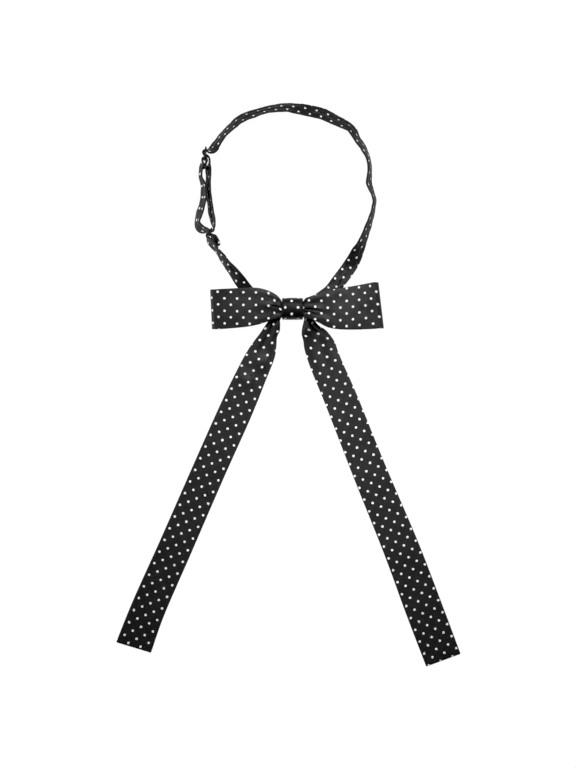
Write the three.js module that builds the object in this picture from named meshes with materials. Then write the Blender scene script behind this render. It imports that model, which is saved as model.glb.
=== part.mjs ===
// A slim pre-tied bow tie, laid flat on a surface with its neckband spread open in a ring.
// Millimetres, +Z up from the surface, +Y from the tails to the back of the neck.
// The origin is under the middle of the knot, on the surface.
import * as THREE from 'three';

// Cloth: every strip is folded ribbon, a little thicker where it is gathered
const bandWidth = 10.2;
const bandThickness = 1.5;
const tailThickness = 1.4;
const loopThickness = 1.3;
const gap = 0.3; // between pieces that touch on the real tie

// Knot: a sleeve of ribbon round the gathered middle, open at its left and right
const knotWidth = 14.6;
const knotDepth = 15.4;
const knotHeight = 12;
const knotWall = 1.5;
const knotFlat = 4.2; // half of the flat stretch of its underside
const knotCrown = 0.3; // how far its two rims sink below its middle
const knotShoulder = { rise: 0.92, reach: 1.2 }; // how square the front's two shoulders are

// Adjuster: a slide with three bars and a link with two, stood on edge like the band in them
const barSize = 1;
const barChamfer = 0.2;
const barPlay = 0.4; // between a bar and the band round it
const hardwareHeight = 12;
const rail = 1.3; // the rails that join the ends of the bars
const slotLift = rail + gap; // the band's lower edge inside the hardware
const slotBand = hardwareHeight - 2 * slotLift; // the band's width inside the hardware
const wrapRadius = barSize / 2 + barPlay + bandThickness / 2;
const secondRadius = wrapRadius + bandThickness + gap; // a second layer round the first
const slideFoot = new THREE.Vector2(-61.2, 103.6); // the slide's lowest bar
const slideLean = 83.7; // degrees, the slide's direction from its lowest bar to its highest
const linkLong = new THREE.Vector2(-56.4, 55.6); // the link's bar in the long part's bend
const linkShort = new THREE.Vector2(-58.2, 50.8); // the link's bar in the short part's fold
const longBend = { from: 0, to: -110 }; // degrees round the link's bar, seen from above
const shortFold = { from: 50, to: 210 };

// How a cut across a strip is stepped from one edge (-1) to the other (1)
const plainSteps = [-1, -0.86, 0.86, 1];
const crownedSteps = [-1, -0.94, -0.5, 0, 0.5, 0.94, 1];
const gatheredSteps = [-1, -0.92, -0.75, -0.5, -0.25, 0, 0.25, 0.5, 0.75, 0.92, 1];
const edgeShare = 0.45; // an edge's thickness as a share of the middle's

const table = (columns, rows) =>
  rows.map((row) => Object.fromEntries(columns.map((name, i) => [name, row[i]])));

// The neckband's rows: where its middle runs, how far it leans from flat (0) to on edge (90),
// its width, and how far its lower edge is off the surface
const bandColumns = ['x', 'y', 'tilt', 'width', 'lift'];

const neckRows = table(bandColumns, [
  [0.5, 0.1, 0, 8.6, 1.85],
  [7.2, 0.6, 0, 8.6, 1.85],
  [13.2, 3.2, 0, 9.2, 0.6],
  [20.0, 7.0, 0, bandWidth, 0],
  [26.9, 12.3, 0, bandWidth, 0],
  [32.2, 19.2, 0, bandWidth, 0],
  [36.8, 25.2, 2, bandWidth, 0],
  [40.9, 31.1, 8, bandWidth, 0],
  [44.2, 37.1, 25, bandWidth, 0],
  [47.4, 43.8, 48, bandWidth, 0],
  [50.3, 50.4, 61, bandWidth, 0],
  [54.9, 63.3, 72, bandWidth, 0],
  [57.2, 72.8, 78, bandWidth, 0],
  [55.9, 80.1, 75, bandWidth, 0],
  [53.9, 87.1, 67, bandWidth, 0],
  [53.9, 95.2, 74, bandWidth, 0],
  [53.0, 104.2, 74, bandWidth, 0],
  [49.6, 112.0, 65, bandWidth, 0],
  [45.9, 117.8, 60, bandWidth, 0],
  [41.3, 125.3, 54, bandWidth, 0],
  [34.2, 129.7, 44, bandWidth, 0],
  [22.8, 135.4, 34, bandWidth, 0],
  [8.8, 138.9, 34, bandWidth, 0],
  [-5.9, 140.5, 50, bandWidth, 0],
  [-20.6, 138.3, 57, bandWidth, 0],
  [-34.6, 133.2, 51, bandWidth, 0],
  [-45.4, 124.9, 60, bandWidth, 0],
  [-53.0, 115.3, 57, bandWidth, 0],
  [-55.1, 110.9, 52, bandWidth, 0.3],
  [-57.9, 109.7, 76, slotBand, 1.3],
]);

const strandDownRows = table(bandColumns, [
  [-57.9, 101.0, 85, bandWidth, 1.2],
  [-58.3, 97.6, 77, bandWidth, 0.4],
  [-58.8, 92.0, 72, bandWidth, 0],
  [-58.7, 83.3, 71, bandWidth, 0],
  [-58.1, 75.5, 70, bandWidth, 0],
  [-57.1, 68.3, 69, bandWidth, 0],
  [-55.7, 61.8, 75, bandWidth, 0.3],
  [-54.8, 57.8, 88, slotBand, 1.4],
]);

const strandUpRows = table(bandColumns, [
  [-59.4, 54.6, 93, slotBand, 1.4],
  [-62.6, 55.0, 97, bandWidth, 0.4],
  [-65.3, 57.0, 103, bandWidth, 0],
  [-66.3, 61.0, 108, bandWidth, 0],
  [-64.9, 67.2, 113, bandWidth, 0],
  [-63.4, 72.6, 108, bandWidth, 0],
  [-62.1, 79.0, 105, bandWidth, 0],
  [-62.1, 85.8, 105, bandWidth, 0],
  [-63.9, 91.4, 101, bandWidth, 0],
  [-64.1, 95.8, 99, bandWidth, 0.2],
  [-63.1, 99.6, 95, bandWidth, 0.9],
]);

const sewnEndRows = table(bandColumns, [
  [-59.7, 102.2, 90, slotBand, slotLift],
  [-60.3, 100.4, 87, slotBand, 1.2],
  [-61.1, 98.9, 84, bandWidth, 0.8],
  [-61.6, 97.4, 82, bandWidth, 0.5],
]);

const foldEndRows = table(bandColumns, [
  [-51.6, 43.2, 100, bandWidth, 0.2],
  [-52.8, 46.5, 96, bandWidth, 0.7],
  [-54.4, 49.8, 90, slotBand, slotLift],
]);

const shortRows = table(bandColumns, [
  [-58.2, 47.6, 90, slotBand, slotLift],
  [-55.7, 44.4, 85, bandWidth, 0.6],
  [-52.3, 40.2, 74, bandWidth, 0],
  [-48.3, 34.8, 64, bandWidth, 0],
  [-44.8, 30.2, 59, bandWidth, 0],
  [-41.0, 25.4, 47, 9.9, 0],
  [-37.3, 20.5, 33, 9.7, 0],
  [-33.0, 14.9, 13, 8.6, 0],
  [-28.0, 9.2, 2, 8.8, 0],
  [-21.0, 4.4, 0, 9.2, 0],
  [-14.0, 1.8, 0, bandWidth, 0.7],
  [-7.2, 0.4, 0, 8.6, 1.85],
  [-0.5, 0.1, 0, 8.6, 1.85],
]);

// The tails' rows: the outer and the inner edge, the height of the middle of the cloth,
// and the depth of the gathers that run down from the knot
const tailColumns = ['outerX', 'outerY', 'innerX', 'innerY', 'z', 'pleat'];

const leftTailRows = table(tailColumns, [
  [-0.6, 3.2, -0.6, -5.4, 4.5, 0.05],
  [-6.6, 3.0, -5.4, -5.5, 4.5, 0.05],
  [-11.0, 0.6, -7.8, -6.4, 4.4, 0.2],
  [-14.8, -4.4, -8.6, -8.2, 3.8, 0.5],
  [-17.2, -8.8, -8.6, -11.6, 2.9, 0.7],
  [-20.0, -12.9, -8.9, -15.6, 2.2, 0.8],
  [-22.6, -16.8, -10.8, -19.8, 1.7, 0.7],
  [-26.4, -21.8, -11.2, -25.4, 1.2, 0.45],
  [-31.2, -28.7, -12.6, -34.5, 0.9, 0.2],
  [-38.2, -41.5, -18.6, -49.9, 0.7, 0],
  [-50.7, -67.2, -29.4, -76.6, 0.7, 0],
  [-69.5, -109.2, -48.3, -118.8, 0.7, 0],
  [-92.6, -161.7, -71.0, -171.2, 0.7, 0],
  [-111.5, -203.7, -89.4, -213.5, 0.7, 0],
  [-123.4, -233.1, -98.9, -240.5, 0.7, 0],
]);

const rightTailRows = table(tailColumns, [
  [0.6, 3.2, 0.6, -5.4, 4.5, 0.05],
  [6.6, 3.0, 5.4, -5.5, 4.5, 0.05],
  [11.2, 0.6, 7.9, -6.2, 4.4, 0.2],
  [14.2, -5.2, 7.7, -9.2, 3.8, 0.5],
  [17.5, -10.8, 6.7, -13.2, 2.9, 0.7],
  [22.8, -14.4, 6.4, -17.8, 2.2, 0.8],
  [26.6, -18.6, 7.4, -21.9, 1.7, 0.7],
  [29.8, -23.6, 8.4, -28.4, 1.2, 0.45],
  [32.2, -30.5, 11.4, -38.2, 0.9, 0.2],
  [36.2, -40.0, 15.4, -48.4, 0.7, 0],
  [45.4, -60.9, 24.0, -69.5, 0.7, 0],
  [65.0, -109.2, 42.8, -118.2, 0.7, 0],
  [87.4, -161.7, 63.9, -171.1, 0.7, 0],
  [103.6, -203.7, 79.4, -213.4, 0.7, 0],
  [117.6, -241.2, 93.5, -250.2, 0.7, 0],
]);

// The loops' rows, from the middle of the knot to the start of the outer fold: the edge
// towards the neck and the edge towards the tails, the heights of the front and the back
// layer, the cloth's thickness and the depth of its gathers
const loopColumns = ['topX', 'topY', 'lowX', 'lowY', 'front', 'back', 'thickness', 'pleat'];

const leftLoopRows = table(loopColumns, [
  [-0.5, 4.5, -0.5, -4.5, 8.6, 6.5, 1.6, 0.05],
  [-7.3, 4.3, -7.3, -4.5, 8.6, 6.5, 1.6, 0.05],
  [-8.1, 6.2, -7.9, -6.0, 8.8, 6.5, 1.6, 0.3],
  [-9.4, 7.9, -9.4, -6.6, 9.0, 6.4, 1.5, 0.5],
  [-11.4, 9.7, -11.4, -6.9, 9.4, 6.4, 1.4, 0.6],
  [-14.3, 11.4, -14.3, -7.9, 9.8, 6.2, loopThickness, 0.65],
  [-18.5, 13.1, -18.5, -9.4, 10.2, 5.6, loopThickness, 0.5],
  [-24.5, 14.4, -24.5, -11.2, 10.6, 4.7, loopThickness, 0.25],
  [-32.0, 14.5, -32.0, -12.6, 10.7, 4.3, loopThickness, 0.1],
  [-42.0, 14.0, -42.0, -13.6, 10.3, 4.0, loopThickness, 0],
  [-49.5, 13.7, -49.0, -14.1, 9.6, 3.5, loopThickness, 0],
  [-54.0, 13.4, -52.7, -14.3, 8.9, 3.1, loopThickness, 0],
]);

const rightLoopRows = table(loopColumns, [
  [0.5, 4.5, 0.5, -4.5, 8.6, 6.5, 1.6, 0.05],
  [7.3, 4.2, 7.3, -4.5, 8.6, 6.5, 1.6, 0.05],
  [8.1, 6.1, 7.9, -6.2, 8.8, 6.5, 1.6, 0.3],
  [9.2, 7.4, 9.2, -6.7, 9.0, 6.4, 1.5, 0.55],
  [11.2, 8.1, 11.2, -7.0, 9.4, 6.4, 1.4, 0.7],
  [14.3, 9.2, 14.3, -8.0, 9.8, 6.2, loopThickness, 0.8],
  [19.0, 10.9, 19.0, -10.1, 10.2, 5.6, loopThickness, 0.7],
  [24.5, 12.4, 24.5, -12.9, 10.6, 4.7, loopThickness, 0.45],
  [32.0, 13.9, 32.0, -14.3, 10.7, 4.1, loopThickness, 0.2],
  [43.0, 15.8, 43.0, -14.6, 10.4, 3.7, loopThickness, 0.05],
  [52.0, 17.5, 54.0, -14.2, 9.7, 3.3, loopThickness, 0],
  [56.4, 18.4, 60.2, -13.8, 9.0, 3.0, loopThickness, 0],
]);

const loopCrown = 0.3; // how far a front layer's long edges sink below its middle
const loopPleats = 2.5; // gathers across a loop
const tailPleats = 2; // gathers across a tail
const foldSteps = 6; // cuts round a loop's outer fold
const bandSteps = 2; // cuts for each of the neckband's rows
const wrapStep = 24; // degrees between cuts round a bar
const knotSteps = 7; // cuts for each curve of the knot's outline

const radians = THREE.MathUtils.degToRad;
const up = new THREE.Vector3(0, 0, 1);

// Cuts between a table's rows, on a smooth curve through every column
function smooth(rows, steps) {
  const at = (i) => rows[THREE.MathUtils.clamp(i, 0, rows.length - 1)];
  const curve = (a, b, c, d, t) => {
    const slopeIn = (c - a) / 2;
    const slopeOut = (d - b) / 2;
    const bend = 3 * (c - b) - 2 * slopeIn - slopeOut;
    const turn = 2 * (b - c) + slopeIn + slopeOut;
    return b + t * (slopeIn + t * (bend + t * turn));
  };
  const cuts = [];
  for (let i = 0; i < rows.length - 1; i += 1) {
    const near = [at(i - 1), at(i), at(i + 1), at(i + 2)];
    for (let step = 0; step < steps; step += 1) {
      const column = (name) => curve(...near.map((row) => row[name]), step / steps);
      cuts.push(Object.fromEntries(Object.keys(rows[i]).map((name) => [name, column(name)])));
    }
  }
  return [...cuts, rows[rows.length - 1]];
}

// A closed body through rings of points. Each ring runs over one face of a strip from edge
// to edge and back over the other. An endless strip joins its last ring to its first.
function loft(rings, endless = false) {
  const size = rings[0].length;
  const index = [];
  const quad = (a, b, c, d) => index.push(a, b, c, a, c, d);
  const spans = endless ? rings.length : rings.length - 1;
  for (let i = 0; i < spans; i += 1) {
    const here = i * size;
    const next = ((i + 1) % rings.length) * size;
    for (let k = 0; k < size; k += 1) {
      const beside = (k + 1) % size;
      quad(here + k, next + k, next + beside, here + beside);
    }
  }
  if (!endless) {
    const last = (rings.length - 1) * size;
    for (let k = 0; k < size / 2 - 1; k += 1) {
      const across = size - 1 - k;
      quad(k, k + 1, across - 1, across);
      quad(last + across, last + across - 1, last + k + 1, last + k);
    }
  }
  const geometry = new THREE.BufferGeometry().setFromPoints(rings.flat());
  geometry.setIndex(index);
  geometry.computeVertexNormals();
  return geometry;
}

// A strip of cloth through cuts {centre, half, thickness}, where half is the vector from the
// middle to one edge. shape(v, cut) is how far the cloth stands off at v across it.
function strip(cuts, steps, shape = () => 0, endless = false) {
  const count = cuts.length;
  const towards = (i, k) => {
    const from = endless ? (i + count) % count : i;
    const to = endless ? (k + count) % count : k;
    if (from < 0 || to >= count) return new THREE.Vector3();
    return cuts[to].centre.clone().sub(cuts[from].centre).normalize();
  };
  const rings = cuts.map((cut, i) => {
    const along = towards(i - 1, i).add(towards(i, i + 1));
    const out = along.cross(cut.half).normalize();
    const face = (side) => steps.map((v) => {
      const share = Math.abs(v) === 1 ? edgeShare : 1;
      const off = shape(v, cut) + (side * share * cut.thickness) / 2;
      return cut.centre.clone().addScaledVector(cut.half, v).addScaledVector(out, off);
    });
    return [...face(1), ...face(-1).reverse()];
  });
  return loft(rings, endless);
}

// The neckband: its inner edge, on the left of its run round the neck, is the one that rises
function bandCuts(rows) {
  return rows.map((row, i) => {
    const before = rows[Math.max(i - 1, 0)];
    const after = rows[Math.min(i + 1, rows.length - 1)];
    const heading = new THREE.Vector2(after.x - before.x, after.y - before.y).normalize();
    const tilt = radians(row.tilt);
    const rise = (row.width * Math.sin(tilt) + bandThickness * Math.abs(Math.cos(tilt))) / 2;
    const half = new THREE.Vector3(-heading.y, heading.x, 0).multiplyScalar(Math.cos(tilt));
    half.addScaledVector(up, Math.sin(tilt)).multiplyScalar(row.width / 2);
    const centre = new THREE.Vector3(row.x, row.y, Math.max(row.lift, 0) + rise);
    return { centre, half, thickness: bandThickness };
  });
}

// Rows of the band round an upright bar, from one direction in degrees to another
function roundBar(bar, radius, from, to) {
  const steps = Math.ceil(Math.abs(to - from) / wrapStep);
  return Array.from({ length: steps + 1 }, (_, i) => {
    const angle = radians(THREE.MathUtils.lerp(from, to, i / steps));
    const x = bar.x + radius * Math.cos(angle);
    const y = bar.y + radius * Math.sin(angle);
    return { x, y, tilt: 90, width: slotBand, lift: slotLift };
  });
}

const slideDirection = new THREE.Vector2(1, 0).rotateAround(new THREE.Vector2(), radians(slideLean));
const slideMiddleAt = wrapRadius + secondRadius; // from the lowest bar to the middle one
const slideTopAt = slideMiddleAt + wrapRadius + barPlay + (bandThickness + barSize) / 2;
const slideMiddle = slideFoot.clone().addScaledVector(slideDirection, slideMiddleAt);
const linkAngle = THREE.MathUtils.radToDeg(linkLong.clone().sub(linkShort).angle());
const linkLength = linkLong.distanceTo(linkShort);

// From the knot round the neck, through the slide, round the link and back to the slide
function longBand() {
  const route = [
    ...smooth(neckRows, bandSteps),
    ...roundBar(slideMiddle, wrapRadius, slideLean, slideLean + 180),
    ...roundBar(slideFoot, secondRadius, slideLean, slideLean - 90).slice(1),
    ...smooth(strandDownRows, bandSteps),
    ...roundBar(linkLong, wrapRadius, longBend.from, longBend.to),
    ...smooth(strandUpRows, bandSteps),
    ...roundBar(slideFoot, wrapRadius, slideLean + 90, slideLean - 90),
    ...smooth(sewnEndRows, bandSteps),
  ];
  return strip(bandCuts(route), plainSteps);
}

// From its folded end, round the link and down to the knot
function shortBand() {
  const route = [
    ...smooth(foldEndRows, bandSteps),
    ...roundBar(linkShort, wrapRadius, shortFold.from, shortFold.to),
    ...smooth(shortRows, bandSteps),
  ];
  return strip(bandCuts(route), plainSteps);
}

const gathers = (v, pleats) => Math.cos(Math.PI * pleats * v);

// A tail, from the middle of the knot to its cut end; side is 1 on the left and -1 on the right
function tail(rows, side) {
  const cuts = rows.map((row) => {
    const outer = new THREE.Vector3(row.outerX, row.outerY, row.z);
    const inner = new THREE.Vector3(row.innerX, row.innerY, row.z);
    const centre = outer.clone().add(inner).multiplyScalar(0.5);
    const half = outer.sub(inner).multiplyScalar(side / 2);
    return { centre, half, thickness: tailThickness, pleat: row.pleat };
  });
  return strip(cuts, gatheredSteps, (v, cut) => cut.pleat * gathers(v, tailPleats));
}

// A loop: its back layer out to the fold, round the fold, and its front layer back
function loop(rows) {
  const layer = (row, name) => {
    const top = new THREE.Vector3(row.topX, row.topY, row[name]);
    const low = new THREE.Vector3(row.lowX, row.lowY, row[name]);
    return { top, low, thickness: row.thickness, pleat: row.pleat, crown: 0 };
  };
  const end = rows[rows.length - 1];
  const radius = (end.front - end.back) / 2;
  const outward = Math.sign(end.topX) * radius;
  const fold = Array.from({ length: foldSteps - 1 }, (_, i) => {
    const angle = Math.PI * (-0.5 + (i + 1) / foldSteps);
    const cut = layer(end, 'back');
    const shift = new THREE.Vector3(outward * Math.cos(angle), 0, radius * (1 + Math.sin(angle)));
    cut.top.add(shift);
    cut.low.add(shift);
    return cut;
  });
  const back = rows.map((row) => ({ ...layer(row, 'back'), pleat: -row.pleat / 2 }));
  const front = rows.map((row) => ({ ...layer(row, 'front'), crown: loopCrown })).reverse();
  const side = Math.sign(end.topX);
  const cuts = [...back, ...fold, ...front].map(({ top, low, ...rest }) => {
    const centre = top.clone().add(low).multiplyScalar(0.5);
    return { centre, half: top.sub(low).multiplyScalar(-side / 2), ...rest };
  });
  const shape = (v, cut) => cut.pleat * gathers(v, loopPleats) - cut.crown * v * v;
  return strip(cuts, gatheredSteps, shape);
}

// The knot: an endless strip round a rounded outline with a flat underside
function knot() {
  const inset = knotWall / 2;
  const side = knotDepth / 2 - inset;
  const top = knotHeight - inset;
  const corner = side - knotFlat;
  const outline = new THREE.Path();
  outline.moveTo(-knotFlat, inset);
  outline.lineTo(-knotFlat + gap, inset);
  outline.lineTo(knotFlat - gap, inset);
  outline.lineTo(knotFlat, inset);
  outline.absarc(knotFlat, inset + corner, corner, -Math.PI / 2, 0);
  const rise = top * knotShoulder.rise;
  const reach = knotFlat * knotShoulder.reach;
  outline.bezierCurveTo(side, rise, reach, top, 0, top);
  outline.bezierCurveTo(-reach, top, -side, rise, -side, inset + corner);
  outline.absarc(-knotFlat, inset + corner, corner, Math.PI, 1.5 * Math.PI);
  const points = outline.getPoints(knotSteps).slice(0, -1);
  const cuts = points.map((point) => ({
    centre: new THREE.Vector3(0, point.x, point.y),
    half: new THREE.Vector3(knotWidth / 2, 0, 0),
    thickness: knotWall,
    crown: point.y > knotHeight / 2 ? knotCrown : 0,
  }));
  return strip(cuts, crownedSteps, (v, cut) => -cut.crown * v * v, true);
}

// A flat frame of bars on edge: barsAt gives the bars' places along it
function barFrame(barsAt) {
  const half = barSize / 2;
  const outline = new THREE.Shape();
  const box = (path, left, right, low, high) => {
    path.moveTo(left, low);
    path.lineTo(right, low);
    path.lineTo(right, high);
    path.lineTo(left, high);
    path.closePath();
    return path;
  };
  box(outline, -half, barsAt[barsAt.length - 1] + half, 0, hardwareHeight);
  for (let i = 0; i < barsAt.length - 1; i += 1) {
    const slot = [barsAt[i] + half, barsAt[i + 1] - half, rail, hardwareHeight - rail];
    outline.holes.push(box(new THREE.Path(), ...slot));
  }
  const geometry = new THREE.ExtrudeGeometry(outline, {
    depth: barSize - 2 * barChamfer,
    bevelThickness: barChamfer,
    bevelSize: barChamfer,
    bevelOffset: -barChamfer,
    bevelSegments: 1,
  });
  geometry.translate(0, 0, barChamfer - half);
  return geometry;
}

const ribbon = { color: 0x2c2c2e, roughness: 0.72, metalness: 0 };
const blackMetal = { color: 0x18181a, roughness: 0.35, metalness: 0.8 };

function piece(name, geometry, look) {
  const mesh = new THREE.Mesh(geometry, new THREE.MeshStandardMaterial(look));
  mesh.name = name;
  return mesh;
}

// Hardware lies in the plane of its outline, so it is stood up and then turned into place
function stood(mesh, foot, degrees) {
  mesh.rotation.x = Math.PI / 2;
  const turned = new THREE.Group();
  turned.rotation.z = radians(degrees);
  turned.position.set(foot.x, foot.y, 0);
  turned.add(mesh);
  return turned;
}

const bowTie = new THREE.Group();
bowTie.add(
  piece('knot_wrap', knot(), ribbon),
  piece('bow_loop_left', loop(leftLoopRows), ribbon),
  piece('bow_loop_right', loop(rightLoopRows), ribbon),
  piece('tail_left', tail(leftTailRows, 1), ribbon),
  piece('tail_right', tail(rightTailRows, -1), ribbon),
  piece('neckband_long', longBand(), ribbon),
  piece('neckband_short', shortBand(), ribbon),
  stood(piece('slider', barFrame([0, slideMiddleAt, slideTopAt]), blackMetal), slideFoot, slideLean),
  stood(piece('ring', barFrame([0, linkLength]), blackMetal), linkShort, linkAngle),
);

export default bowTie;
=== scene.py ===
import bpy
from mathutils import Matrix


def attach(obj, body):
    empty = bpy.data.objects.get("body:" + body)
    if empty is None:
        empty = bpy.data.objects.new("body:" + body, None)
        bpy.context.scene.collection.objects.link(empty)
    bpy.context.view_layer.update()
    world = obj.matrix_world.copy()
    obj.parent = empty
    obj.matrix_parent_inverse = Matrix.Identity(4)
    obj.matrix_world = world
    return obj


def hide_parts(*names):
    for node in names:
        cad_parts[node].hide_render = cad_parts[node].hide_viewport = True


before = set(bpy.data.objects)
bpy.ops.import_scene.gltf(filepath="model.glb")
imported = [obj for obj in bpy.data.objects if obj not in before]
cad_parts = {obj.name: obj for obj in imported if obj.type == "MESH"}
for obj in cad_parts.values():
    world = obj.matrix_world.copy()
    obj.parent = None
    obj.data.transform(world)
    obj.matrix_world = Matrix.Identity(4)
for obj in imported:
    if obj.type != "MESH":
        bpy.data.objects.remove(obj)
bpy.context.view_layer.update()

import math

import bpy
import numpy as np
from mathutils import Vector, noise
from mathutils.bvhtree import BVHTree
from mathutils.interpolate import poly_3d_calc

# A pre-tied bow tie laid flat, in the frame's axes: the origin is under the knot, +Z is up and
# +Y runs from the tails to the back of the neck. Tables are in millimetres, apart from those of
# the stage and the lights, which are in metres. On a strip of cloth, along is the run in
# millimetres and v is the place across, from -1 at one edge to 1 at the other.
mm = 0.001
body = "root"

print("camera")

camera = {"at": (-3.15, -52.5, 1493), "lens": 100, "sensor": 36}
cameraAt = Vector(camera["at"]) * mm
cameraData = bpy.data.cameras.new("camera")
cameraData.lens = camera["lens"]
cameraData.sensor_width = camera["sensor"]
cameraObject = bpy.data.objects.new("camera", cameraData)
cameraObject.location = cameraAt
bpy.context.collection.objects.link(cameraObject)
bpy.context.scene.camera = cameraObject

print("cloth and metal")


# Adds a node, with settings by attribute name and inputs by socket name or number
def addNode(tree, kind, settings=None, inputs=None):
    node = tree.nodes.new(kind)
    for name, value in (settings or {}).items():
        setattr(node, name, value)
    for name, value in (inputs or {}).items():
        if isinstance(value, bpy.types.NodeSocket):
            tree.links.new(value, node.inputs[name])
        else:
            node.inputs[name].default_value = value
    return node


def addMath(tree, operation, a, b=0.0):
    return addNode(tree, "ShaderNodeMath", {"operation": operation}, {0: a, 1: b}).outputs[0]


def multiplyAdd(tree, a, b, c):
    return addNode(tree, "ShaderNodeMath", {"operation": "MULTIPLY_ADD"}, {0: a, 1: b, 2: c}).outputs[0]


def addVectorMath(tree, operation, a, b=(0, 0, 0)):
    return addNode(tree, "ShaderNodeVectorMath", {"operation": operation}, {0: a, 1: b})


def newMaterial(name):
    material = bpy.data.materials.new(name)
    material.use_nodes = True
    tree = material.node_tree
    tree.nodes.clear()
    shader = addNode(tree, "ShaderNodeBsdfPrincipled")
    output = addNode(tree, "ShaderNodeOutputMaterial")
    tree.links.new(shader.outputs[0], output.inputs[0])
    return material, tree, shader


# The map is in steps of the dots' lattice: a dot at each corner and one in the middle
cloth = {
    "ground": (0.01, 0.01, 0.0103, 1),
    "thread": (0.032, 0.032, 0.033, 1),
    "dot": (0.85, 0.85, 0.84, 1),
    "latticeStep": 8.75,
    "dotRadius": 0.83,
    "dotEdge": 0.12,
    "dotWobble": 0.16,
    "dotWobbleSize": 0.5,
    "dotRise": 0.04,
    "threadPitch": 0.36,
    "threadRise": 0.012,
    "slubSize": 1.4,
    "slubRise": 0.02,
    "mottleSize": 9,
    "mottle": (0.9, 0.5),
    "noiseRoughness": 0.6,
    "roughness": (0.4, 0.52),
    "specular": 0.22,
}


def dottedCloth(name, look):
    material, tree, shader = newMaterial(name)
    step = look["latticeStep"]
    spot = addNode(tree, "ShaderNodeUVMap", {"uv_map": "cloth"}).outputs[0]

    def scaledNoise(size, detail):
        inputs = {"Vector": spot, "Scale": step / size, "Detail": detail}
        inputs["Roughness"] = look["noiseRoughness"]
        return addNode(tree, "ShaderNodeTexNoise", {"noise_dimensions": "2D"}, inputs).outputs[0]

    # Distance to the nearest dot, a little uneven because each dot is made of threads
    def distanceTo(offset):
        moved = addVectorMath(tree, "ADD", spot, (offset, offset, 0)).outputs[0]
        cell = addVectorMath(tree, "FRACTION", moved).outputs[0]
        centred = addVectorMath(tree, "SUBTRACT", cell, (0.5, 0.5, 0)).outputs[0]
        return addVectorMath(tree, "LENGTH", centred).outputs["Value"]

    nearest = addMath(tree, "MINIMUM", distanceTo(0.5), distanceTo(0))
    wobble = addMath(tree, "SUBTRACT", scaledNoise(look["dotWobbleSize"], detail=2), 0.5)
    uneven = multiplyAdd(tree, wobble, look["dotWobble"] / step, nearest)
    inner = (look["dotRadius"] - look["dotEdge"]) / step
    outer = (look["dotRadius"] + look["dotEdge"]) / step
    ranges = {"Value": uneven, "From Min": inner, "From Max": outer, "To Min": 1, "To Max": 0}
    mask = addNode(tree, "ShaderNodeMapRange", {"interpolation_type": "SMOOTHSTEP"}, ranges).outputs[0]

    # Plain weave: warp and weft cross as small cushions
    parts = addNode(tree, "ShaderNodeSeparateXYZ", None, {0: spot})
    turns = math.pi * step / look["threadPitch"]
    across = addMath(tree, "SINE", addMath(tree, "MULTIPLY", parts.outputs[0], turns))
    along = addMath(tree, "SINE", addMath(tree, "MULTIPLY", parts.outputs[1], turns))
    weave = addMath(tree, "ABSOLUTE", addMath(tree, "MULTIPLY", across, along))
    slubs = scaledNoise(look["slubSize"], detail=3)
    mottle = scaledNoise(look["mottleSize"], detail=3)

    light = addMath(tree, "MULTIPLY", weave, multiplyAdd(tree, mottle, *look["mottle"]))
    ground = addNode(tree, "ShaderNodeMix", {"data_type": "RGBA"}, {0: light})
    ground.inputs[6].default_value = look["ground"]
    ground.inputs[7].default_value = look["thread"]
    colour = addNode(tree, "ShaderNodeMix", {"data_type": "RGBA"}, {0: mask, 6: ground.outputs[2]})
    colour.inputs[7].default_value = look["dot"]
    low, high = look["roughness"]
    rough = {"Value": slubs, "To Min": low, "To Max": high}
    roughness = addNode(tree, "ShaderNodeMapRange", None, rough).outputs[0]

    height = addMath(tree, "MULTIPLY", weave, look["threadRise"])
    for source, rise in ((slubs, look["slubRise"]), (mask, look["dotRise"])):
        height = multiplyAdd(tree, source, rise, height)
    bump = addNode(tree, "ShaderNodeBump", None, {"Strength": 1, "Distance": mm, "Height": height})

    tree.links.new(colour.outputs[2], shader.inputs["Base Color"])
    tree.links.new(roughness, shader.inputs["Roughness"])
    tree.links.new(bump.outputs[0], shader.inputs["Normal"])
    shader.inputs["Specular IOR Level"].default_value = look["specular"]
    return material


blackEnamel = {
    "coat": (0.012, 0.012, 0.013, 1),
    "worn": (0.06, 0.06, 0.062, 1),
    "grainPerMetre": 900,
    "grainDetail": 4,
    "grainRise": 0.02,
    "grainStrength": 0.4,
    "wear": (0.62, 0.75),
    "roughness": (0.22, 0.42),
    "metallic": 0.7,
}


def enamelledMetal(name, look):
    material, tree, shader = newMaterial(name)
    spot = addNode(tree, "ShaderNodeTexCoord").outputs["Object"]
    inputs = {"Vector": spot, "Scale": look["grainPerMetre"], "Detail": look["grainDetail"]}
    grain = addNode(tree, "ShaderNodeTexNoise", None, inputs).outputs[0]
    low, high = look["wear"]
    wear = {"Value": grain, "From Min": low, "From Max": high, "To Min": 0, "To Max": 1}
    worn = addNode(tree, "ShaderNodeMapRange", None, wear).outputs[0]
    colour = addNode(tree, "ShaderNodeMix", {"data_type": "RGBA"}, {0: worn})
    colour.inputs[6].default_value = look["coat"]
    colour.inputs[7].default_value = look["worn"]
    low, high = look["roughness"]
    rough = {"Value": grain, "To Min": low, "To Max": high}
    roughness = addNode(tree, "ShaderNodeMapRange", None, rough).outputs[0]
    rise = {"Strength": look["grainStrength"], "Distance": look["grainRise"] * mm, "Height": grain}
    bump = addNode(tree, "ShaderNodeBump", None, rise)
    tree.links.new(colour.outputs[2], shader.inputs["Base Color"])
    tree.links.new(roughness, shader.inputs["Roughness"])
    tree.links.new(bump.outputs[0], shader.inputs["Normal"])
    shader.inputs["Metallic"].default_value = look["metallic"]
    return material


# Painted shade: the knot is the same cloth as the rest, and it looks darker in the photo, so a copy with a
# lower tone and shine stands in for its shade
paintedShadeCloth = {
    **cloth,
    "ground": (0.006, 0.006, 0.0062, 1),
    "thread": (0.018, 0.018, 0.0185, 1),
    "specular": 0.13,
}

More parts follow.
